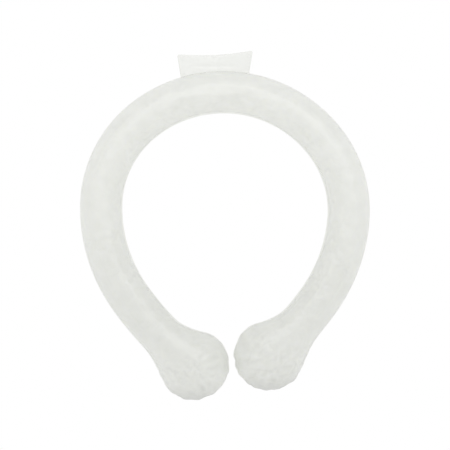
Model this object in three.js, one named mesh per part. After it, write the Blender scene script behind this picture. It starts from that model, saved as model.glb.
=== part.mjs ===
// Cooling neck wrap: an open ring of milky film filled with cooling gel, worn round the neck.
// Two film sheets are heat-welded along a thin rim that follows the whole outline, the gel fills
// the tube between them, and a flat welded tab at the nape closes the way it was filled through.
// It lies flat, in millimetres, with +Z up, +Y towards the nape and the mouth towards -Y. The
// origin is on the surface it lies on, under the middle of its outline's box.

import * as THREE from "three";
import { mergeVertices } from "three/addons/utils/BufferGeometryUtils.js";

// Driving dimensions of the ring
const neckWidth = 120; // clear width between the arms where they are widest apart
const tubeWidth = 24.8; // across the tube from above, weld rims included
const tubeHeight = 22.5; // the filled tube's height as it lies
const bulbWidth = 41.8; // across each round end from above
const bulbHeight = 24.5; // each round end's height as it lies
const mouthGap = 2; // between the two round ends
const mouthShift = 4.8; // how far the mouth lies to the right of the neck's middle

// Film, weld and gel
const filmThickness = 0.6;
const weldWidth = 1.2; // the flat rim outside the filled tube
const sheetGap = 0.3; // between the two sheets at the weld
const gelGap = 0.3; // between the gel and the film
const restSag = 0.8; // how far the soft underside is pressed flat where it lies
const puckerFold = 1.6; // depth of the deepest fold that runs in from a pucker

// Fill tab
const tabTopWidth = 44.3;
const tabBaseWidth = 40;
const tabLength = 10; // from the ring's rim at the nape to the middle of the tab's end
const tabOffset = 5; // how far the tab's middle lies to the left of the neck's middle
const tabTilt = 2.6; // degrees: the right corner stands further out than the left
const tabDip = 1.1; // how far the end edge bows in at its middle
const tabCorner = 1.5; // corner radius
const tabClearance = 0.3; // between the tab and the ring's rim

// How finely the surfaces are divided
const stationSpacing = 10; // along the arms
const domeSteps = 5; // from the weld to the crest
const capSteps = 26; // round half of a round end

const RIGHT = 1;
const LEFT = -1;
const UP = Math.PI / 2;

const bulbRadius = bulbWidth / 2;
const loopRadius = (neckWidth + tubeWidth) / 2; // of the centre line
const seamHeight = tubeHeight / 2;
const weldTop = seamHeight + sheetGap / 2 + filmThickness;
const weldUnderside = seamHeight - sheetGap / 2 - filmThickness;

// Each arm's centre line is a chain of arcs from the nape round to the throat. A radius is a
// share of loopRadius and a turn is in degrees. The last arc turns until the round end is beside
// the mouth.
const napeRadius = 1.043 * loopRadius;
const armArcs = {
  [RIGHT]: [
    { stretch: "nape", radius: 1.043, turn: 54 },
    { stretch: "shoulder", radius: 0.9, turn: 41 },
    { stretch: "side", radius: 1.31, turn: 31.4 },
  ],
  [LEFT]: [
    { stretch: "nape", radius: 1.043, turn: 40 },
    { stretch: "shoulder", radius: 0.9, turn: 50.6 },
    { stretch: "side", radius: 1.264, turn: 36 },
  ],
};
const throatRadius = { [RIGHT]: 2.75, [LEFT]: 2.82 };

// How an arm widens into its round end. before is the distance from the round end's middle, as a
// share of bulbRadius, and flare goes from 0, the tube's width, to 1, the round end's.
const flareSections = [
  { before: 1.25, flare: 0 },
  { before: 1.05, flare: 0.09 },
  { before: 0.86, flare: 0.23 },
  { before: 0.67, flare: 0.4 },
  { before: 0.48, flare: 0.63 },
  { before: 0.29, flare: 0.87 },
  { before: 0.1, flare: 0.99 },
  { before: 0, flare: 1 },
];

// Where the weld puckers round each end. at is in degrees from the arm's own direction, positive
// on the outer side, drawIn is a share of bulbRadius, and span is half the pucker's width in degrees.
const puckers = {
  [RIGHT]: [
    { at: -112, drawIn: 0.012, span: 9 },
    { at: -90, drawIn: 0.02, span: 9 },
    { at: -64, drawIn: 0.028, span: 9 },
    { at: -31, drawIn: 0.034, span: 8 },
    { at: 6, drawIn: 0.026, span: 9 },
    { at: 29, drawIn: 0.022, span: 8 },
    { at: 52, drawIn: 0.03, span: 9 },
    { at: 79, drawIn: 0.034, span: 8 },
    { at: 104, drawIn: 0.014, span: 9 },
  ],
  [LEFT]: [
    { at: -110, drawIn: 0.012, span: 9 },
    { at: -88, drawIn: 0.02, span: 9 },
    { at: -64, drawIn: 0.026, span: 8 },
    { at: -37, drawIn: 0.044, span: 10 },
    { at: -14, drawIn: 0.03, span: 8 },
    { at: 6, drawIn: 0.032, span: 8 },
    { at: 31, drawIn: 0.044, span: 9 },
    { at: 58, drawIn: 0.018, span: 9 },
    { at: 84, drawIn: 0.016, span: 10 },
  ],
};
const deepestPucker = 0.044; // the largest drawIn, whose fold is puckerFold deep

// The centre line of one arm, drawn with its outer side towards +X whichever side it is on.
function armCentreLine(side) {
  const line = new THREE.CurvePath();
  let x = 0;
  let y = loopRadius;
  let heading = 0; // from +X, clockwise
  const addArc = (radius, turn) => {
    const centreX = x - radius * Math.sin(heading);
    const centreY = y - radius * Math.cos(heading);
    line.add(
      new THREE.ArcCurve(centreX, centreY, radius, UP - heading, UP - heading - turn, true),
    );
    heading += turn;
    x = centreX + radius * Math.sin(heading);
    y = centreY + radius * Math.cos(heading);
  };
  for (const arc of armArcs[side]) {
    addArc(arc.radius * loopRadius, THREE.MathUtils.degToRad(arc.turn));
  }
  const bulbX = side * mouthShift + bulbRadius + mouthGap / 2;
  const lastRadius = throatRadius[side] * loopRadius;
  const lastSine = Math.sin(heading) + (bulbX - x) / lastRadius;
  addArc(lastRadius, Math.PI - Math.asin(lastSine) - heading);
  return line;
}

// A section of one arm at a distance along its centre line: a foot on the centre line, the ways
// out of the arm and along it, the half width and the crest's height.
function armSection(side, line, distance, flare) {
  const along = distance / line.getLength();
  const foot = line.getPoint(along);
  const ahead = line.getTangent(along);
  foot.x *= side;
  ahead.x *= side;
  return {
    foot,
    ahead,
    outward: new THREE.Vector2(-ahead.y, ahead.x).multiplyScalar(side),
    halfWidth: THREE.MathUtils.lerp(tubeWidth / 2, bulbRadius, flare),
    crest: THREE.MathUtils.lerp(tubeHeight, bulbHeight, flare),
  };
}

function armSections(side) {
  const line = armCentreLine(side);
  const length = line.getLength();
  const plainLength = length - flareSections[0].before * bulbRadius;
  const count = Math.round(plainLength / stationSpacing);
  const plain = Array.from({ length: count }, (_, i) =>
    armSection(side, line, (i * plainLength) / count, 0),
  );
  const flared = flareSections.map((row) =>
    armSection(side, line, length - row.before * bulbRadius, row.flare),
  );
  return [...plain, ...flared];
}

// How far the weld is drawn in at a direction round a round end, as a share of bulbRadius.
function puckerAt(side, degrees) {
  return puckers[side].reduce(
    (sum, row) => sum + row.drawIn * Math.exp(-(((degrees - row.at) / row.span) ** 2)),
    0,
  );
}

// A rib runs from the centre line out to the weld's edge.
function makeRib(side, section, way, end) {
  const edge = section.foot.clone().addScaledVector(way, section.halfWidth);
  const fromEnd = edge.clone().sub(end.foot);
  const degrees = THREE.MathUtils.radToDeg(
    Math.atan2(fromEnd.dot(end.outward), fromEnd.dot(end.ahead)),
  );
  const nearEnd = fromEnd.length() < 1.5 * bulbRadius;
  const drawIn = nearEnd ? puckerAt(side, degrees) : 0;
  return {
    foot: section.foot,
    way,
    reach: section.halfWidth - drawIn * bulbRadius,
    crest: section.crest,
    fold: (puckerFold * drawIn) / deepestPucker,
  };
}

// The ribs of the whole outline, clockwise from above: up the left arm's outer side, down the
// right arm's, round its end, back along both inner sides, and round the left end.
function outlineRibs() {
  const right = armSections(RIGHT);
  const left = armSections(LEFT);
  const rightEnd = right.at(-1);
  const leftEnd = left.at(-1);
  const leftFromNape = left.slice(1); // the arms share the section at the nape
  const outer = (side, end) => (s) => makeRib(side, s, s.outward, end);
  const inner = (side, end) => (s) => makeRib(side, s, s.outward.clone().negate(), end);
  const cap = (side, end, from) =>
    Array.from({ length: capSteps - 1 }, (_, i) => {
      const angle = from - (Math.sign(from) * Math.PI * (i + 1)) / capSteps;
      const way = end.ahead
        .clone()
        .multiplyScalar(Math.cos(angle))
        .addScaledVector(end.outward, Math.sin(angle));
      return makeRib(side, end, way, end);
    });
  return [
    ...leftFromNape.toReversed().map(outer(LEFT, leftEnd)),
    ...right.map(outer(RIGHT, rightEnd)),
    ...cap(RIGHT, rightEnd, UP),
    ...right.toReversed().map(inner(RIGHT, rightEnd)),
    ...leftFromNape.map(inner(LEFT, leftEnd)),
    ...cap(LEFT, leftEnd, -UP),
  ];
}

const ribs = outlineRibs();

// A row of points, one on each rib, at a plan distance from the foot and a height.
function row(distance, height) {
  return ribs.map((rib) => {
    const plan = rib.foot.clone().addScaledVector(rib.way, distance(rib));
    return new THREE.Vector3(plan.x, plan.y, height(rib));
  });
}

// A curved face of the tube: rows from the centre line down to its foot beside the weld. inset is
// how far the foot lies in from the outline, rise gives the height over the foot at the centre
// line, which is negative for an underside, and lowest is what it rests on.
function domeRows({ inset, footHeight, rise, lowest }) {
  return Array.from({ length: domeSteps + 1 }, (_, i) => {
    const slope = UP * (1 - i / domeSteps);
    const foldShare = Math.sin(2 * slope) * Math.cos(slope) ** 2;
    return row(
      (rib) => (rib.reach - inset) * Math.cos(slope),
      (rib) => {
        const height = rise(rib) * Math.sin(slope);
        const folded = height - Math.sign(height) * rib.fold * foldShare;
        return Math.max(lowest, footHeight + folded);
      },
    );
  });
}

// A closed body from the rows of its top face and of its underside, both from the centre line out.
function closedBody(topRows, underRows) {
  const rows = [...topRows, ...underRows.toReversed()];
  const count = ribs.length;
  const corners = [];
  for (let r = 0; r + 1 < rows.length; r++) {
    for (let i = 0; i < count; i++) {
      const next = (i + 1) % count;
      const [a, b] = [rows[r][i], rows[r][next]];
      const [c, d] = [rows[r + 1][next], rows[r + 1][i]];
      corners.push(a, b, c, a, c, d);
    }
  }
  const merged = mergeVertices(new THREE.BufferGeometry().setFromPoints(corners));
  const index = merged.index.array;
  const kept = [];
  for (let i = 0; i < index.length; i += 3) {
    const [a, b, c] = index.slice(i, i + 3);
    if (a !== b && b !== c && c !== a) kept.push(a, b, c); // ribs that share a foot close to a point
  }
  merged.setIndex(kept);
  merged.computeVertexNormals();
  return merged;
}

const filmMaterial = new THREE.MeshStandardMaterial({
  color: 0xe4e6df,
  roughness: 0.42,
  metalness: 0,
});
const gelMaterial = new THREE.MeshStandardMaterial({
  color: 0xdcded8,
  roughness: 0.6,
  metalness: 0,
});
const tabMaterial = new THREE.MeshStandardMaterial({
  color: 0xf2f3ee,
  roughness: 0.35,
  metalness: 0,
  transparent: true,
  opacity: 0.8,
});

function namedMesh(name, geometry, material) {
  const mesh = new THREE.Mesh(geometry, material);
  mesh.name = name;
  return mesh;
}

const toEdge = (rib) => rib.reach;

function upperFilm() {
  const outside = domeRows({
    inset: weldWidth,
    footHeight: weldTop,
    rise: (rib) => rib.crest - weldTop,
    lowest: 0,
  });
  const inside = domeRows({
    inset: weldWidth + filmThickness,
    footHeight: weldTop - filmThickness,
    rise: (rib) => rib.crest - weldTop,
    lowest: 0,
  });
  outside.push(row(toEdge, () => weldTop));
  inside.push(row(toEdge, () => weldTop - filmThickness));
  return namedMesh("film_upper", closedBody(outside, inside), filmMaterial);
}

function lowerFilm() {
  const inside = domeRows({
    inset: weldWidth + filmThickness,
    footHeight: weldUnderside + filmThickness,
    rise: () => -weldUnderside - restSag,
    lowest: filmThickness,
  });
  const outside = domeRows({
    inset: weldWidth,
    footHeight: weldUnderside,
    rise: () => -weldUnderside - restSag,
    lowest: 0,
  });
  inside.push(row(toEdge, () => weldUnderside + filmThickness));
  outside.push(row(toEdge, () => weldUnderside));
  return namedMesh("film_lower", closedBody(inside, outside), filmMaterial);
}

function gelCore() {
  const cover = filmThickness + gelGap;
  const inset = weldWidth + cover;
  const top = domeRows({
    inset,
    footHeight: seamHeight,
    rise: (rib) => rib.crest - cover - seamHeight,
    lowest: cover,
  });
  const under = domeRows({
    inset,
    footHeight: seamHeight,
    rise: () => cover - restSag - seamHeight,
    lowest: cover,
  });
  return namedMesh("gel_core", closedBody(top, under.slice(0, -1)), gelMaterial);
}

// The tab is both sheets welded flat together. Its base follows the ring's rim at the nape, and
// its sides flare out to an end edge that bows in a little.
function fillTab() {
  const rimRadius = napeRadius + tubeWidth / 2 + tabClearance;
  const napeCentreY = loopRadius - napeRadius;
  const baseAngle = (x) => Math.acos(x / rimRadius);
  const baseLeft = -tabOffset - tabBaseWidth / 2;
  const baseRight = -tabOffset + tabBaseWidth / 2;
  const endLevel = napeCentreY + rimRadius + tabLength;
  const tilt = Math.tan(THREE.MathUtils.degToRad(tabTilt));
  const endPoint = (fromMiddle) =>
    new THREE.Vector2(fromMiddle - tabOffset, endLevel + tilt * fromMiddle);
  const endLeft = endPoint(-tabTopWidth / 2);
  const endRight = endPoint(tabTopWidth / 2);
  const endMiddle = endPoint(0);

  const outline = new THREE.Shape();
  outline.absarc(0, napeCentreY, rimRadius, baseAngle(baseLeft), baseAngle(baseRight), true);
  const baseRightPoint = outline.currentPoint.clone();
  const sideRight = baseRightPoint.sub(endRight).setLength(tabCorner).add(endRight);
  outline.lineTo(sideRight.x, sideRight.y);
  outline.quadraticCurveTo(endRight.x, endRight.y, endRight.x - tabCorner, endRight.y);
  outline.quadraticCurveTo(
    endMiddle.x,
    endMiddle.y - 2 * tabDip,
    endLeft.x + tabCorner,
    endLeft.y,
  );
  const baseLeftPoint = new THREE.Vector2(
    baseLeft,
    napeCentreY + rimRadius * Math.sin(baseAngle(baseLeft)),
  );
  const sideLeft = baseLeftPoint.sub(endLeft).setLength(tabCorner).add(endLeft);
  outline.quadraticCurveTo(endLeft.x, endLeft.y, sideLeft.x, sideLeft.y);
  outline.closePath();

  const thickness = 2 * filmThickness;
  const geometry = new THREE.ExtrudeGeometry(outline, {
    depth: thickness,
    bevelEnabled: false,
    curveSegments: 10,
  });
  const tab = namedMesh("fill_tab", geometry, tabMaterial);
  tab.position.z = seamHeight - thickness / 2;
  return tab;
}

const wrap = new THREE.Group();
wrap.add(upperFilm(), lowerFilm(), gelCore(), fillTab());

const box = new THREE.Box3().setFromObject(wrap);
const middle = box.getCenter(new THREE.Vector3());
wrap.position.set(-middle.x, -middle.y, -box.min.z);

export default wrap;
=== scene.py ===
import math

import bpy
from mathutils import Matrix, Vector, noise
from mathutils.kdtree import KDTree


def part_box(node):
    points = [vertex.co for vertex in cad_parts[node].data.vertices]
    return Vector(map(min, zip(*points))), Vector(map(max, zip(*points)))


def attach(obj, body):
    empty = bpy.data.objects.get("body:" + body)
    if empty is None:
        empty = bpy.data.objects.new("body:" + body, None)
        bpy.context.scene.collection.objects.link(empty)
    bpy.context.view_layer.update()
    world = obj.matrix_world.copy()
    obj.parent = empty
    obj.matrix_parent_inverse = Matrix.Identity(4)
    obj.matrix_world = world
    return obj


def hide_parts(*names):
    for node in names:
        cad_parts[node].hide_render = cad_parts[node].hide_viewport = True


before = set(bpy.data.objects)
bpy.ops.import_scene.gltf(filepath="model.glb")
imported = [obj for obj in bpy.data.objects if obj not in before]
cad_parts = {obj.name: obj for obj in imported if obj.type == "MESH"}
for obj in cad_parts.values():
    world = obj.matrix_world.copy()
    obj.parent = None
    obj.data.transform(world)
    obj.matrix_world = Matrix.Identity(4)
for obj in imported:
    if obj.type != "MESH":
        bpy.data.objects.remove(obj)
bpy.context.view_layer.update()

# Camera. The wrap lies on a pale table with its nape at the top of the picture, and the camera
# looks straight down on it through a long lens, from over the middle of its box.
weld_height = (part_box("film_upper")[0].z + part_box("film_lower")[1].z) / 2
view_width = 0.2633  # across the picture, at the height of the weld
view_centre = (0.0001, 0.0005)
lens = 70
sensor = 36

bpy.ops.object.camera_add(
    location=(*view_centre, weld_height + view_width * lens / sensor), rotation=(0, 0, 0)
)
camera = bpy.context.object
camera.name = "camera"
camera.data.lens = lens
camera.data.sensor_width = sensor
camera.data.clip_start = 0.01
bpy.context.scene.camera = camera


# Film skin. The tube is two sheets of milky thermoplastic film, welded along their outline and
# swollen by the gel. Round the inside of the ring and in the round ends the sheets are longer
# than their way round, so there the film lies in soft wrinkles. It is pressed flat where it lies.
skin_grain = 0.0011  # between the points of the film
sheet_half = 0.00075  # from the middle of the weld to the outside of either sheet
tube_half = 0.0112  # from the centre line to where the swollen film starts
crest_upright = 0.985  # upward share of the normal along the tube's crest, at least
neck_middle = Vector((0, 0.0068, 0))
end_middles = [Vector((-0.018, -0.0815, 0)), Vector((0.0257, -0.0757, 0))]
end_radius = 0.0205
same_point = 1e-6  # corners of triangles that are nearer than this are one
same_place = 1e-5
joining_angle = 1.2  # radians between two triangles that still join to a square

# A pair of bounds says where an effect starts and where it is full.
far_side_bounds = (0.7 * end_radius, -0.3 * end_radius)  # upwards from an end's middle
end_bounds = (2.2 * end_radius, 0.8 * end_radius)  # out from an end's middle, for its wrinkles
end_weld_bounds = (1.6 * end_radius, 1.2 * end_radius)  # and for its scalloped weld
inner_side_bounds = (0.2 * tube_half, -tube_half)  # out from the tube's centre line
inner_slack = 0.75  # as a share of the slack at the far side of the ends
near_side_slack = 0.5  # at the side of the ends that is towards the neck
least_slack = 0.012  # spare length of the film, as a share, where it is smoothest
most_slack = 0.1  # and where it is most wrinkled
lying_bounds = (0.0012, 0.0002)  # heights, for the film that the table holds
least_hold = 0.06

gather_spacing = 0.0045  # between the gathers that the wrinkles grow from
gather_depth = 0.00022
gather_length = 2.5 * gather_spacing
dimple_spacing = 0.75 * gather_spacing  # between the hollows that follow no gather
end_gather_bounds = (0.75 * end_radius, end_radius)  # out from an end's middle
end_gathers = 0.3  # as a share of the hollows
ring_gathers = 0.7
scallop_spacing = 0.006
scallop_depth = 0.0005
scallop_rise = 2.4  # of the bulge between two gathers over the notch at one
scallop_notch = 0.5
scallop_change = 40  # for each metre to the right, so that the two ends differ
shoulder = 0.0007  # how far the full film bulges over the weld
shoulder_reach = 0.005

weight_levels = 50
wrinkle_frames = 18
wrinkle_inward = 0.0004  # furthest that the film may sink towards the gel
wrinkle_outward = 0.0009  # and out, away from the weld, whose rim still shows
wrinkle_sideways = 0.5  # share of the film's sideways move that is kept
fold_depth = 0.00025  # below the film round it, where a fold gets its darkest painted shade
fold_reach = 14  # steps of smoothing that level the folds out
groove_reach = 0.6 * shoulder_reach  # of the groove along the weld
tight_show = 0.35  # how much of a fold's painted shade shows where the film is tight
crease_half = 0.0009
crease_wander = 0.5 * crease_half
crease_depth = 0.00033
creases = [  # from and to on the upper side: left end, right end, right arm and neck
    ((-0.030, -0.0835), (-0.0225, -0.0852)),
    ((-0.0145, -0.0845), (-0.0095, -0.0925)),
    ((-0.0070, -0.0862), (0.0015, -0.0838)),
    ((-0.0260, -0.0930), (-0.0190, -0.0960)),
    ((0.0285, -0.0815), (0.0430, -0.0800)),
    ((0.0120, -0.0822), (0.0260, -0.0829)),
    ((0.0315, -0.0862), (0.0410, -0.0850)),
    ((0.0215, -0.0885), (0.0330, -0.0890)),
    ((0.0728, -0.0175), (0.0752, -0.0215)),
    ((0.0690, -0.0250), (0.0725, -0.0285)),
    ((0.0095, 0.0738), (0.0170, 0.0712)),
    ((0.0385, 0.0603), (0.0425, 0.0565)),
    ((0.0470, 0.0518), (0.0505, 0.0475)),
    ((0.0553, 0.0455), (0.0572, 0.0428)),
]
painted_fold_shade = 0.036  # painted shade of the colour in a deep fold, and as much painted light on a ridge
painted_lower_shade = 0.26  # where the gel is deepest
arm_shade = 0.27  # painted shade of the colour down the arms, darkest at the far side of the round ends
arm_shade_bounds = (0.05, -0.07)  # y, down the arms
end_shade_bounds = (-0.1 * end_radius, 1.05 * end_radius)  # down from an end's middle
frost_scale = 3500  # of the fine grain on every film
frost_share = 0.12  # of its height, beside the crinkles


def working_copy(nodes, name):
    bpy.ops.object.select_all(action="DESELECT")
    for node in nodes:
        piece = bpy.data.objects.new(name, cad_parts[node].data.copy())
        bpy.context.collection.objects.link(piece)
        piece.select_set(True)
        bpy.context.view_layer.objects.active = piece
    if len(nodes) > 1:
        bpy.ops.object.join()
    piece = bpy.context.object
    piece.name = piece.data.name = name
    piece.data.materials.clear()
    bpy.ops.object.mode_set(mode="EDIT")
    bpy.ops.mesh.select_all(action="SELECT")
    bpy.ops.mesh.remove_doubles(threshold=same_point)
    bpy.ops.mesh.select_all(action="DESELECT")
    bpy.ops.object.mode_set(mode="OBJECT")
    return piece


def keep_faces(piece, wanted):
    for polygon in piece.data.polygons:
        polygon.select = not wanted(polygon)
    bpy.ops.object.mode_set(mode="EDIT")
    bpy.ops.mesh.delete(type="FACE")
    bpy.ops.object.mode_set(mode="OBJECT")


def apply_modifiers(piece):
    bpy.context.view_layer.objects.active = piece
    for modifier in list(piece.modifiers):
        bpy.ops.object.modifier_apply(modifier=modifier.name)


def is_swollen_outside(polygon):
    above = polygon.center.z > weld_height
    faces_out = polygon.normal.z > 0 if above else polygon.normal.z < 0
    return faces_out and abs(polygon.center.z - weld_height) > sheet_half + same_place


def smooth_step(low, high, value):
    share = min(1, max(0, (value - low) / (high - low)))
    return share * share * (3 - 2 * share)


skin = working_copy(["film_upper", "film_lower"], "film_skin")
keep_faces(skin, is_swollen_outside)
crest = [v.co.copy() for v in skin.data.vertices if v.normal.z > crest_upright]
centre_line = KDTree(len(crest))
for number, point in enumerate(crest):
    centre_line.insert((point.x, point.y, 0), number)
centre_line.balance()

bpy.ops.object.mode_set(mode="EDIT")
bpy.ops.mesh.select_mode(type="EDGE")
bpy.ops.mesh.select_non_manifold(extend=False, use_boundary=True)
bpy.ops.mesh.bridge_edge_loops()
bpy.ops.mesh.select_all(action="SELECT")
bpy.ops.mesh.tris_convert_to_quads(face_threshold=joining_angle, shape_threshold=joining_angle)
bpy.ops.mesh.normals_make_consistent(inside=False)
bpy.ops.object.mode_set(mode="OBJECT")

rounding = skin.modifiers.new("rounding", "SUBSURF")
rounding.levels = rounding.render_levels = 2
apply_modifiers(skin)
skin.data.remesh_voxel_size = skin_grain
bpy.ops.object.voxel_remesh()


def nearest_end(point):
    """The way to the point from the middle of the nearer round end, seen from above."""
    flat = Vector((point.x, point.y, 0))
    return min(((flat - middle) for middle in end_middles), key=lambda spoke: spoke.length)


def far_side(spoke):
    """How far round to the free side of a round end: 0 towards the neck, 1 at the far side."""
    return smooth_step(*far_side_bounds, spoke.y)


def slack_at(point):
    """How slack the film is: 0 where it is tight, 1 at the far side of the round ends."""
    flat = Vector((point.x, point.y, 0))
    nearest, _, _ = centre_line.find(flat)
    outward = (flat - neck_middle).length - (nearest - neck_middle).length
    inner_side = smooth_step(*inner_side_bounds, outward)
    spoke = nearest_end(point)
    at_end = smooth_step(*end_bounds, spoke.length)
    end_slack = near_side_slack + (1 - near_side_slack) * far_side(spoke)
    return max(inner_slack * inner_side, at_end * end_slack)


def weigh(piece, group_name, weights):
    group = piece.vertex_groups.new(name=group_name)
    for level in range(weight_levels + 1):
        members = [i for i, weight in enumerate(weights) if round(weight * weight_levels) == level]
        group.add(members, level / weight_levels, "REPLACE")


slacks = [slack_at(vertex.co) for vertex in skin.data.vertices]
holds = [max(least_hold, smooth_step(*lying_bounds, v.co.z)) for v in skin.data.vertices]
weigh(skin, "slack", slacks)
weigh(skin, "hold", holds)


def gather_at(point):
    """Hollows of the film: gathers that run in from the weld, and dimples that run no way."""
    spoke = nearest_end(point)
    at_end = spoke.length < end_weld_bounds[0]
    if not at_end:
        spoke = Vector((point.x, point.y, 0)) - neck_middle
    turn = spoke.normalized() * max(end_radius, spoke.length) / gather_spacing
    along = Vector((0, 0, spoke.length / gather_length))
    gathers = end_gathers * smooth_step(*end_gather_bounds, spoke.length) if at_end else ring_gathers
    return gathers * noise.noise(turn + along) + noise.noise(point / dimple_spacing)


def scallop_at(point):
    """How far the weld of a round end runs out between its gathers, or in at one."""
    spoke = nearest_end(point)
    at_end = smooth_step(*end_weld_bounds, spoke.length) * far_side(spoke)
    turn = spoke.normalized() * end_radius / scallop_spacing
    bulge = abs(noise.noise(turn + Vector((0, 0, point.x * scallop_change))))
    return scallop_depth * at_end * (scallop_rise * bulge - scallop_notch)


outwards = [vertex.normal.copy() for vertex in skin.data.vertices]
for vertex, outward, amount in zip(skin.data.vertices, outwards, slacks):
    near_weld = smooth_step(shoulder_reach, 0, abs(vertex.co.z - weld_height))
    swelling = (shoulder + scallop_at(vertex.co)) * near_weld
    vertex.co += outward * (swelling + gather_depth * amount * gather_at(vertex.co))

before = [vertex.co.copy() for vertex in skin.data.vertices]
normals = [vertex.normal.copy() for vertex in skin.data.vertices]
wrinkling = skin.modifiers.new("wrinkling", "CLOTH")
film = wrinkling.settings
film.quality = 5
film.mass = 0.3
film.tension_stiffness = film.compression_stiffness = 20
film.shear_stiffness = 10
film.bending_stiffness = 0.08
film.use_pressure = True
film.uniform_pressure_force = 3
film.vertex_group_shrink = "slack"
film.shrink_min = -least_slack
film.shrink_max = -most_slack
film.vertex_group_mass = "hold"
film.pin_stiffness = 1
film.effector_weights.gravity = 0
wrinkling.collision_settings.use_collision = False
for step in range(1, wrinkle_frames + 1):
    bpy.context.scene.frame_set(step)
apply_modifiers(skin)
bpy.context.scene.frame_set(1)
for vertex, start, normal in zip(skin.data.vertices, before, normals):
    move = vertex.co - start
    outward = move.dot(normal)
    most_outward = wrinkle_outward * smooth_step(0, shoulder_reach, abs(start.z - weld_height))
    allowed = min(most_outward, max(-wrinkle_inward, outward))
    sideways = move - normal * outward
    vertex.co = start + sideways * wrinkle_sideways + normal * allowed


def from_line(point, start, end):
    flat = Vector((point.x, point.y, 0))
    start, end = Vector((*start, 0)), Vector((*end, 0))
    along = min(1, max(0, (flat - start).dot(end - start) / (end - start).length_squared))
    return (start.lerp(end, along) - flat).length


def bell(offset, half_width):
    return math.exp(-((offset / half_width) ** 2))


for vertex in skin.data.vertices:
    if vertex.co.z > weld_height:
        wander = noise.noise(vertex.co / gather_spacing) * crease_wander
        gaps = [from_line(vertex.co, start, end) + wander for start, end in creases]
        vertex.co.z -= crease_depth * bell(min(gaps), crease_half)
    vertex.co.z = max(0, vertex.co.z)
bpy.ops.object.shade_smooth()


def add_share(piece, name, shares):
    attribute = piece.data.attributes.new(name, "FLOAT", "POINT")
    attribute.data.foreach_set("value", shares)


def fold_shares(piece):
    """How deep each point lies in a fold: 0 on a ridge, 0.5 on even film, 1 in a deep fold."""
    # The first levelling takes the folds out. The second moves the film only as far as its own
    # roundness does, and that part is taken off again.
    levelled = piece.copy()
    levelled.data = piece.data.copy()
    bpy.context.collection.objects.link(levelled)
    stages = []
    for _ in range(2):
        levelling = levelled.modifiers.new("levelling", "SMOOTH")
        levelling.iterations = fold_reach
        apply_modifiers(levelled)
        stages.append([vertex.co.copy() for vertex in levelled.data.vertices])
    bpy.data.meshes.remove(levelled.data)
    bpy.context.view_layer.objects.active = piece
    shares = []
    for vertex, once, twice in zip(piece.data.vertices, *stages):
        depth = (2 * once - vertex.co - twice).dot(vertex.normal)
        # The painted shade of a fold is weaker where the film is tight, and none is painted in the
        # groove along the weld.
        show = max(tight_show, slack_at(vertex.co))
        show *= smooth_step(0, groove_reach, abs(vertex.co.z - weld_height))
        shares.append(min(1, max(0, 0.5 + show * depth / (2 * fold_depth))))
    return shares


def lower_shade_share(point):
    """How much painted shade the film gets: more down the arms, and most at the far side of the ends.
    """
    along = smooth_step(*arm_shade_bounds, point.y)
    end = min(end_middles, key=lambda middle: (point - middle).length)
    beyond = smooth_step(*end_shade_bounds, end.y - point.y)
    return arm_shade * along + (1 - arm_shade) * beyond**3


add_share(skin, "fold", fold_shares(skin))
# The gel share is painted shade: more down the arms, and most at the far side of the round ends.
add_share(skin, "gel", [lower_shade_share(vertex.co) for vertex in skin.data.vertices])


def film_surface_group():
    """Milky cloud in the film, its tone with painted shade in folds, painted light on ridges and
    painted shade down the arms and round ends, and the height of its crinkles.
    """
    group = bpy.data.node_groups.new("film_surface", "ShaderNodeTree")
    # The Gel input is a share of painted shade down the arms and round ends.
    given_names = ("Fold", "Gel", "Painted Fold Shade", "Painted Lower Shade", "Cloud Scale", "Crinkle Scale")
    sockets = group.interface
    sockets.new_socket("Vector", in_out="INPUT", socket_type="NodeSocketVector")
    for name in given_names + ("Frost Scale", "Frost Share"):
        sockets.new_socket(name, in_out="INPUT", socket_type="NodeSocketFloat")
    for name in ("Cloud", "Tone", "Height"):
        sockets.new_socket(name, in_out="OUTPUT", socket_type="NodeSocketFloat")
    nodes, link = group.nodes, group.links.new
    given = nodes.new("NodeGroupInput")
    result = nodes.new("NodeGroupOutput")

    def pattern(scale_name, detail):
        noise_node = nodes.new("ShaderNodeTexNoise")
        noise_node.inputs["Detail"].default_value = detail
        link(given.outputs["Vector"], noise_node.inputs["Vector"])
        link(given.outputs[scale_name], noise_node.inputs["Scale"])
        return noise_node

    def multiply_add(value, factor, added):
        node = nodes.new("ShaderNodeMath")
        node.operation = "MULTIPLY_ADD"
        for socket, source in zip(node.inputs, (value, factor, added)):
            if isinstance(source, (int, float)):
                socket.default_value = source
            else:
                link(source, socket)
        return node.outputs["Value"]

    cloud = pattern("Cloud Scale", 4)
    spread = nodes.new("ShaderNodeMapRange")
    spread.inputs["From Min"].default_value = 0.32
    spread.inputs["From Max"].default_value = 0.68
    link(cloud.outputs["Fac"], spread.inputs["Value"])
    link(spread.outputs["Result"], result.inputs["Cloud"])

    # Painted shade and light: darker in folds and lighter on ridges, and darker down the arms and
    # round ends through the Gel share.
    fold_shade_mask = multiply_add(given.outputs["Fold"], -2, 1)
    over_folds = multiply_add(fold_shade_mask, given.outputs["Painted Fold Shade"], 1)
    lower_shade = multiply_add(given.outputs["Gel"], -1, 0)
    tone = multiply_add(lower_shade, given.outputs["Painted Lower Shade"], over_folds)
    link(tone, result.inputs["Tone"])

    crinkle = pattern("Crinkle Scale", 3)
    crinkle.noise_type = "RIDGED_MULTIFRACTAL"
    crinkle.inputs["Distortion"].default_value = 0.6
    frost = pattern("Frost Scale", 2)
    height = multiply_add(frost.outputs["Fac"], given.outputs["Frost Share"], crinkle.outputs["Fac"])
    link(height, result.inputs["Height"])
    return group


film_surface = film_surface_group()


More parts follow.
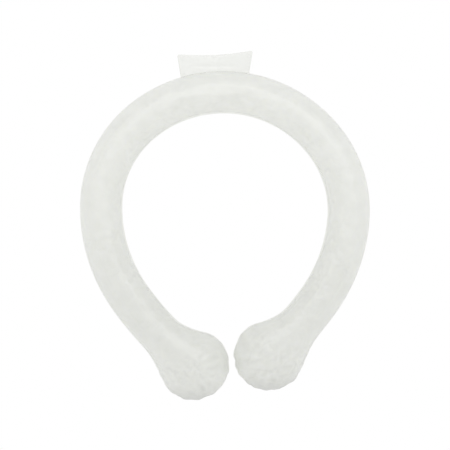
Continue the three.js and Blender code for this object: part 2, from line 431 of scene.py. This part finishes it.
def film_material(name, thick, thin, cloud_scale, crinkle_scale, crinkle_depth, roughness):
    """A film whose colour drifts from thick to thin, with crinkles crinkle_depth metres deep."""
    material = bpy.data.materials.new(name)
    material.use_nodes = True
    nodes, link = material.node_tree.nodes, material.node_tree.links.new
    shader = nodes["Principled BSDF"]
    place = nodes.new("ShaderNodeTexCoord")
    film = nodes.new("ShaderNodeGroup")
    film.node_tree = film_surface
    film.inputs["Painted Fold Shade"].default_value = painted_fold_shade
    film.inputs["Painted Lower Shade"].default_value = painted_lower_shade
    film.inputs["Cloud Scale"].default_value = cloud_scale
    film.inputs["Crinkle Scale"].default_value = crinkle_scale
    film.inputs["Frost Scale"].default_value = frost_scale
    film.inputs["Frost Share"].default_value = frost_share
    link(place.outputs["Object"], film.inputs["Vector"])
    # The fold and gel shares drive the painted shade of the colour.
    for socket in ("Fold", "Gel"):
        share = nodes.new("ShaderNodeAttribute")
        share.attribute_name = socket.lower()
        link(share.outputs["Fac"], film.inputs[socket])

    tint = nodes.new("ShaderNodeMix")
    tint.data_type = "RGBA"
    tint.inputs["A"].default_value = (*thick, 1)
    tint.inputs["B"].default_value = (*thin, 1)
    link(film.outputs["Cloud"], tint.inputs["Factor"])
    toned = nodes.new("ShaderNodeMix")
    toned.data_type = "RGBA"
    toned.blend_type = "MULTIPLY"
    toned.inputs["Factor"].default_value = 1
    link(tint.outputs["Result"], toned.inputs["A"])
    link(film.outputs["Tone"], toned.inputs["B"])
    link(toned.outputs["Result"], shader.inputs["Base Color"])

    satin = nodes.new("ShaderNodeMapRange")
    satin.inputs["To Min"].default_value = roughness[0]
    satin.inputs["To Max"].default_value = roughness[1]
    link(film.outputs["Cloud"], satin.inputs["Value"])
    link(satin.outputs["Result"], shader.inputs["Roughness"])

    bump = nodes.new("ShaderNodeBump")
    bump.inputs["Strength"].default_value = 1
    bump.inputs["Distance"].default_value = crinkle_depth
    link(film.outputs["Height"], bump.inputs["Height"])
    link(bump.outputs["Normal"], shader.inputs["Normal"])
    return material


milky = film_material(
    "milky_film",
    thick=(0.865, 0.875, 0.835),
    thin=(0.90, 0.91, 0.87),
    cloud_scale=130,
    crinkle_scale=260,
    crinkle_depth=0.00012,
    roughness=(0.34, 0.44),
)
milk = milky.node_tree.nodes["Principled BSDF"]
milk.inputs["Subsurface Weight"].default_value = 0.5
milk.inputs["Subsurface Radius"].default_value = (0.003, 0.003, 0.0027)
milk.inputs["Subsurface Scale"].default_value = 1
skin.data.materials.append(milky)

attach(skin, "root")
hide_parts("film_upper", "film_lower")


# Weld rim. Outside the swollen tube the two sheets are melted together into one thin flat edge.
# It runs round the whole outline, and it is wavy where the film gathers behind it.
rim_edge_thickness = 0.0005
rim_root_thickness = 0.0045  # it thickens inwards, so that it runs smoothly into the tube
rim_reach = 2.1  # its whole width as a share of what shows, because its root is inside the tube
rim_wave = 0.0005
rim_rounding = 0.0002
rim_joining_angle = 2  # radians, because the rim's squares are long and lean
flat_upright = 0.99  # upward share of the normal of a face that lies flat, at least
rung_across = 0.8  # how squarely an edge of the rim runs away from the centre line, at least


def is_rim_top(polygon):
    level = abs(polygon.center.z - weld_height - sheet_half) < same_place
    return level and polygon.normal.z > flat_upright


rim = working_copy(["film_upper"], "weld_rim")
keep_faces(rim, is_rim_top)
edge_use = {}
for polygon in rim.data.polygons:
    for key in polygon.edge_keys:
        edge_use[key] = edge_use.get(key, 0) + 1


def from_centre_line(point):
    flat = Vector((point.x, point.y, 0))
    nearest, _, _ = centre_line.find(flat)
    return flat - nearest


roots = {}
for (a, b), uses in edge_use.items():
    pair = sorted((a, b), key=lambda i: from_centre_line(rim.data.vertices[i].co).length)
    root, edge = (rim.data.vertices[i] for i in pair)
    across = edge.co - root.co
    squarely = across.normalized().dot(from_centre_line(edge.co).normalized())
    is_rung = uses == 2 and squarely > rung_across
    if is_rung and across.length < roots.get(root.index, (1, None))[0]:
        roots[root.index] = (across.length, edge.co.copy())
for index, (_, outer) in roots.items():
    root = rim.data.vertices[index]
    root.co = outer + (root.co - outer) * rim_reach
for vertex in rim.data.vertices:
    vertex.co.z = weld_height

thick_part = rim.vertex_groups.new(name="thick_part")
thick_part.add(list(roots), 1, "REPLACE")
bpy.ops.object.mode_set(mode="EDIT")
bpy.ops.mesh.select_all(action="SELECT")
bpy.ops.mesh.tris_convert_to_quads(face_threshold=joining_angle, shape_threshold=rim_joining_angle)
bpy.ops.object.mode_set(mode="OBJECT")
rounding = rim.modifiers.new("rounding", "SUBSURF")
rounding.levels = rounding.render_levels = 2
apply_modifiers(rim)
thick_part = rim.vertex_groups["thick_part"]
for vertex in rim.data.vertices:
    share = vertex.groups[0].weight if vertex.groups else 0
    thick_part.add([vertex.index], share * share, "REPLACE")
    scallop = nearest_end(vertex.co).normalized() * scallop_at(vertex.co)
    vertex.co.z += rim_wave * slack_at(vertex.co) * gather_at(vertex.co)
    vertex.co += scallop
wall = rim.modifiers.new("wall", "SOLIDIFY")
wall.thickness = rim_root_thickness
wall.vertex_group = "thick_part"
wall.thickness_vertex_group = rim_edge_thickness / rim_root_thickness
wall.offset = 0
edges = rim.modifiers.new("edges", "BEVEL")
edges.width = rim_rounding
edges.segments = 2
edges.limit_method = "ANGLE"
edges.angle_limit = math.radians(60)
apply_modifiers(rim)
rim.vertex_groups.clear()  # bevelling leaves some weights a hair below 0
bpy.ops.object.shade_smooth_by_angle(angle=math.radians(50))
# The rim gets no painted fold shade, and the same painted shade down the arms and round ends as the
# skin.
add_share(rim, "fold", [0.5] * len(rim.data.vertices))
add_share(rim, "gel", [lower_shade_share(vertex.co) for vertex in rim.data.vertices])

welded = film_material(
    "welded_edge",
    thick=(0.93, 0.94, 0.90),
    thin=(0.95, 0.96, 0.92),
    cloud_scale=260,
    crinkle_scale=700,
    crinkle_depth=0.00004,
    roughness=(0.3, 0.4),
)
rim.data.materials.append(welded)
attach(rim, "root")


# Gel. The cooling gel fills the film tube. It is a cloudy wax-like filling, and only its colour
# shows through the milky film.
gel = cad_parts["gel_core"]
cloudy = film_material(
    "cloudy_gel",
    thick=(0.76, 0.77, 0.73),
    thin=(0.82, 0.83, 0.79),
    cloud_scale=90,
    crinkle_scale=150,
    crinkle_depth=0.0001,
    roughness=(0.5, 0.6),
)
gel.data.materials.clear()
gel.data.materials.append(cloudy)


# Fill tab. The neck through which the tube was filled, pressed flat and welded shut across its
# foot. It is two bare sheets with no gel between, so it is paler and more see-through, and its
# corners curl a little.
tab_thickness = 0.0007
tab_root = 0.0012  # how far its foot runs into the weld rim
tab_border = 0.0012  # pressed flat all round
tab_border_flat = 0.3 * tab_border  # flattest from the edge to here
tab_grain = 0.0009
tab_corner_lift = (0.0006, 0.0014)  # left and right
tab_lift_start = 0.004  # below the seal
tab_seal_y = 0.0936
tab_seal_half = 0.0006
tab_seal_x = (-0.0186, 0.0046)
tab_seal_fade = (0.003, 0.002)  # beyond and within each of its ends
tab_seal_drift = 0.0004  # how far the seal wanders
tab_seal_spacing = 0.004  # between its wanderings
tab_seal_sink = 0.0002
tab_crease_x = -0.0075
tab_crease_lean = 0.35  # sideways for each length upwards
tab_crease_half = 0.0009
tab_crease_sink = 0.0004
tab_pressed = {"seal": 0.4, "crease": 0.6, "border": 0.8}  # as a share of welded right through
tab_flattest = 0.5  # thickness where it is pressed, as a share of the full one
tab_low, tab_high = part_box("fill_tab")

tab = working_copy(["fill_tab"], "fill_tab_film")
keep_faces(tab, lambda polygon: polygon.normal.z > flat_upright)
for vertex in tab.data.vertices:
    vertex.co.z = weld_height
    if vertex.co.y < tab_seal_y:
        vertex.co.y -= tab_root
bpy.ops.object.mode_set(mode="EDIT")
bpy.ops.mesh.select_all(action="SELECT")
bpy.ops.mesh.dissolve_limited(angle_limit=math.radians(0.5))
bpy.ops.object.mode_set(mode="OBJECT")
tab_outline = [
    tuple(tab.data.vertices[i].co.to_2d() for i in edge.vertices)
    for edge in tab.data.edges
    if max(tab.data.vertices[i].co.y for i in edge.vertices) > tab_seal_y
]
bpy.ops.object.mode_set(mode="EDIT")
for axis, low, high in ((0, tab_low.x, tab_high.x), (1, tab_low.y - tab_root, tab_high.y)):
    for cut in range(1, round((high - low) / tab_grain)):
        place = [0, 0, weld_height]
        way = [0, 0, 0]
        place[axis] = low + cut * tab_grain
        way[axis] = 1
        bpy.ops.mesh.select_all(action="SELECT")
        bpy.ops.mesh.bisect(plane_co=place, plane_no=way)
bpy.ops.mesh.select_all(action="SELECT")
bpy.ops.mesh.remove_doubles(threshold=same_place)
bpy.ops.object.mode_set(mode="OBJECT")
tab_middle = (tab_low.x + tab_high.x) / 2
tab_half = (tab_high.x - tab_low.x) / 2
pressed = []
lifts = []
for vertex in tab.data.vertices:
    x, y, _ = vertex.co
    out = smooth_step(tab_seal_y - tab_lift_start, tab_high.y, y)
    sideways = (x - tab_middle) / tab_half
    drift = tab_seal_drift * noise.noise(Vector((x / tab_seal_spacing, 0, 0)))
    fade = smooth_step(tab_seal_x[0] - tab_seal_fade[0], tab_seal_x[0] + tab_seal_fade[1], x)
    fade *= smooth_step(tab_seal_x[1] + tab_seal_fade[0], tab_seal_x[1] - tab_seal_fade[1], x)
    seal = fade * bell(y - tab_seal_y - drift, tab_seal_half)
    crease_x = tab_crease_x + tab_crease_lean * (y - tab_seal_y)
    crease = out * bell(x - crease_x, tab_crease_half)
    gap = min(from_line(vertex.co, start, end) for start, end in tab_outline)
    border = smooth_step(tab_border, tab_border_flat, gap)
    marks = {"seal": seal, "crease": crease, "border": border}
    pressed.append(max(tab_pressed[mark] * share for mark, share in marks.items()))
    lift = tab_corner_lift[1] if sideways > 0 else tab_corner_lift[0]
    sink = tab_crease_sink * crease + tab_seal_sink * seal
    lifts.append(lift * out * sideways * sideways - sink)
# The tab's crease, seal and border are darkened through the fold share, as far as each is pressed:
# painted shade in the crease, and a darker tone on the pressed seal and border.
add_share(tab, "fold", [0.5 + 0.5 * share for share in pressed])
add_share(tab, "gel", [0] * len(pressed))
swollen_part = tab.vertex_groups.new(name="swollen_part")
for vertex, share, lift in zip(tab.data.vertices, pressed, lifts):
    swollen_part.add([vertex.index], 1 - share, "REPLACE")
    vertex.co.z += lift
wall = tab.modifiers.new("wall", "SOLIDIFY")
wall.thickness = tab_thickness
wall.vertex_group = "swollen_part"
wall.thickness_vertex_group = tab_flattest
wall.offset = 0
apply_modifiers(tab)
bpy.ops.object.shade_smooth_by_angle(angle=math.radians(40))

clear_film = film_material(
    "clear_double_film",
    thick=(0.90, 0.91, 0.87),
    thin=(0.93, 0.94, 0.90),
    cloud_scale=160,
    crinkle_scale=500,
    crinkle_depth=0.00005,
    roughness=(0.26, 0.36),
)
clear_film.node_tree.nodes["Principled BSDF"].inputs["Alpha"].default_value = 0.43
tab.data.materials.append(clear_film)
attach(tab, "root")
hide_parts("fill_tab")


# Table and light. A plain white table with even light from all round, as for a catalogue picture,
# and small lamps in an arc round the nape that show in the gloss alone. The backdrop looks white.
lamp_size = 0.25
lamp_ring = 0.42  # from over the middle of the wrap
lamp_height = 0.74
lamp_watts = {90: 0.66, 60: 0.66, 120: 0.65, 30: 0.66, 150: 0.32}  # by bearing
table_size = 3
table_gap = 0.0002  # so that the table and the film that lies on it don't share a plane
white = (1, 1, 1, 1)

bpy.ops.mesh.primitive_plane_add(size=table_size, location=(0, 0, -table_gap))
table = bpy.context.object
table.name = "table"
paper = bpy.data.materials.new("white_table")
paper.use_nodes = True
surface = paper.node_tree.nodes["Principled BSDF"]
surface.inputs["Base Color"].default_value = (0.3, 0.3, 0.3, 1)
surface.inputs["Roughness"].default_value = 0.9
surface.inputs["Emission Color"].default_value = white
surface.inputs["Emission Strength"].default_value = 0.6
plain_white = paper.node_tree.nodes.new("ShaderNodeEmission")
table.data.materials.append(paper)

world = bpy.data.worlds.new("studio")
bpy.context.scene.world = world
world.use_nodes = True
sky = world.node_tree.nodes["Background"]
sky.inputs["Color"].default_value = white
sky.inputs["Strength"].default_value = 0.9
white_sky = world.node_tree.nodes.new("ShaderNodeBackground")
white_sky.inputs["Color"].default_value = white


def show_white(tree, lighting, seen, output):
    """What lights the wrap is lighting, and the camera sees plain white behind it."""
    sight = tree.nodes.new("ShaderNodeLightPath")
    choice = tree.nodes.new("ShaderNodeMixShader")
    tree.links.new(sight.outputs["Is Camera Ray"], choice.inputs["Fac"])
    tree.links.new(lighting.outputs[0], choice.inputs[1])
    tree.links.new(seen.outputs[0], choice.inputs[2])
    tree.links.new(choice.outputs["Shader"], tree.nodes[output].inputs["Surface"])


show_white(paper.node_tree, surface, plain_white, "Material Output")
show_white(world.node_tree, sky, white_sky, "World Output")

for bearing, watts in lamp_watts.items():
    turn = math.radians(bearing)
    place = Vector((lamp_ring * math.cos(turn), lamp_ring * math.sin(turn), lamp_height))
    bpy.ops.object.light_add(type="AREA", location=place)
    lamp = bpy.context.object
    lamp.name = f"lamp_{bearing}"
    lamp.data.size = lamp_size
    lamp.data.energy = watts
    lamp.rotation_euler = place.to_track_quat("Z", "Y").to_euler()
    lamp.visible_diffuse = False

bpy.context.scene.view_settings.view_transform = "Standard"
